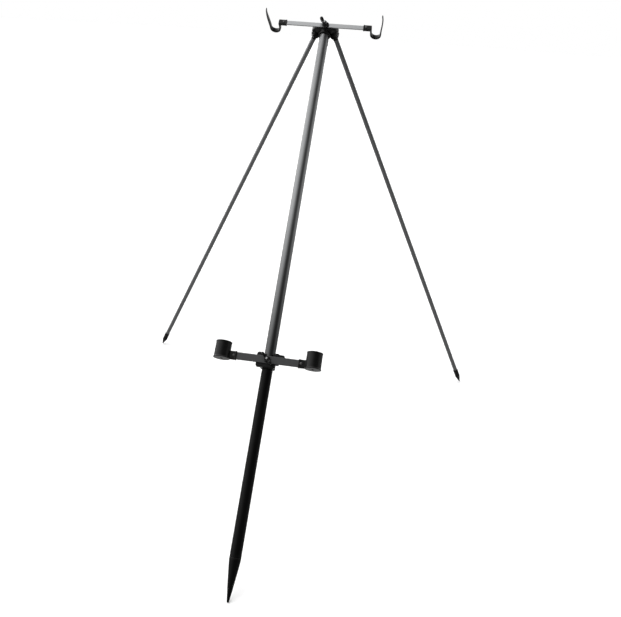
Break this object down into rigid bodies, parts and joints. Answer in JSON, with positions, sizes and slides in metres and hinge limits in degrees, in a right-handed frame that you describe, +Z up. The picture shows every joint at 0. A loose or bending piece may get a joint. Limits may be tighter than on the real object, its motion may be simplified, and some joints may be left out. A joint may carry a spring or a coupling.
{
  "type": "rod rest tripod",
  "caption": "Folding three-legged beach fishing rod rest with a leaning spiked main leg, a top bar of U-shaped rests and a lower bar of butt cups.",
  "frame": {"origin": "on the ground, at the middle of the footprint", "axes": "+Z up, -Y towards the angler and the main leg's spike, X along the two bars"},
  "size_m": [1.3338, 1.335, 1.4147],
  "materials": {
    "grey_anodised": "satin grey anodised tube",
    "bar_silver": "satin silver anodised flat bar",
    "bar_dark": "satin dark anodised flat bar",
    "leg_dark": "dark grey anodised tube",
    "black_paint": "satin black paint",
    "black_nylon": "matt moulded black nylon",
    "zinc": "zinc plated",
    "black_steel": "black oxide fastener",
    "rubber": "matt black rubber"
  },
  "bodies": {
    "main_leg": {"upper_tube": "grey_anodised", "head_yoke": "black_nylon", "yoke_rivet": "zinc", "hinge_bolt_left": "black_steel", "hinge_bolt_right": "black_steel", "hinge_nut_left": "black_steel", "hinge_nut_right": "black_steel", "top_bolt": "zinc", "top_washer": "zinc"},
    "rear_leg_left": {"leg_knuckle_left": "black_nylon", "leg_tube_left": "leg_dark", "leg_foot_left": "black_nylon"},
    "rear_leg_right": {"leg_knuckle_right": "black_nylon", "leg_tube_right": "leg_dark", "leg_foot_right": "black_nylon"},
    "top_bar": {"top_crossbar": "bar_silver", "rod_rest_left": "black_nylon", "rod_rest_right": "black_nylon", "rest_screw_left": "black_steel", "rest_screw_right": "black_steel"},
    "top_knob": {"top_wing_knob": "black_nylon"},
    "sand_spike": {"spike_tube": "black_paint", "spike_point": "black_paint", "spike_spigot": "zinc"},
    "lower_clamp": {"clamp_saddle": "black_nylon", "clamp_screw": "black_steel", "clamp_nut": "black_steel", "lower_bolt": "zinc", "lower_washer": "zinc"},
    "lower_bar": {"lower_crossbar": "bar_dark", "butt_cup_left": "black_nylon", "butt_cup_right": "black_nylon", "cup_pad_left": "rubber", "cup_pad_right": "rubber", "cup_screw_left": "black_steel", "cup_screw_right": "black_steel"},
    "lower_knob": {"lower_wing_knob": "black_nylon"}
  },
  "joints": [
    {"name": "rear_leg_left_fold", "type": "hinge", "parent": "main_leg", "child": "rear_leg_left", "pos_m": [-0.032, 0.55389, 1.34276], "axis": [0.8355, 0.4137, -0.3617], "range_deg": [-50.44, 0]},
    {"name": "rear_leg_right_fold", "type": "hinge", "parent": "main_leg", "child": "rear_leg_right", "pos_m": [0.032, 0.55389, 1.34276], "axis": [0.8355, -0.4137, 0.3617], "range_deg": [-50.44, 0]},
    {"name": "top_bar_tilt", "type": "hinge", "parent": "main_leg", "child": "top_bar", "pos_m": [0, 0.53539, 1.37153], "axis": [0, -0.7431, 0.6691], "range_deg": [-20, 20]},
    {"name": "top_knob_turn", "type": "hinge", "parent": "main_leg", "child": "top_knob", "pos_m": [0, 0.53242, 1.3742], "axis": [0, -0.7431, 0.6691], "continuous": true},
    {"name": "lower_clamp_slide", "type": "slide", "parent": "main_leg", "child": "lower_clamp", "axis": [0, 0.6691, 0.7431], "range_m": [0, 0.4]},
    {"name": "lower_bar_tilt", "type": "hinge", "parent": "lower_clamp", "child": "lower_bar", "pos_m": [0, -0.25381, 0.50101], "axis": [0, -0.7431, 0.6691], "range_deg": [-20, 20]},
    {"name": "lower_knob_turn", "type": "hinge", "parent": "lower_clamp", "child": "lower_knob", "pos_m": [0, -0.25678, 0.50368], "axis": [0, -0.7431, 0.6691], "continuous": true},
    {"name": "spike_pull", "type": "slide", "parent": "main_leg", "child": "sand_spike", "axis": [0, -0.6691, -0.7431], "range_m": [0, 0.11]}
  ]
}
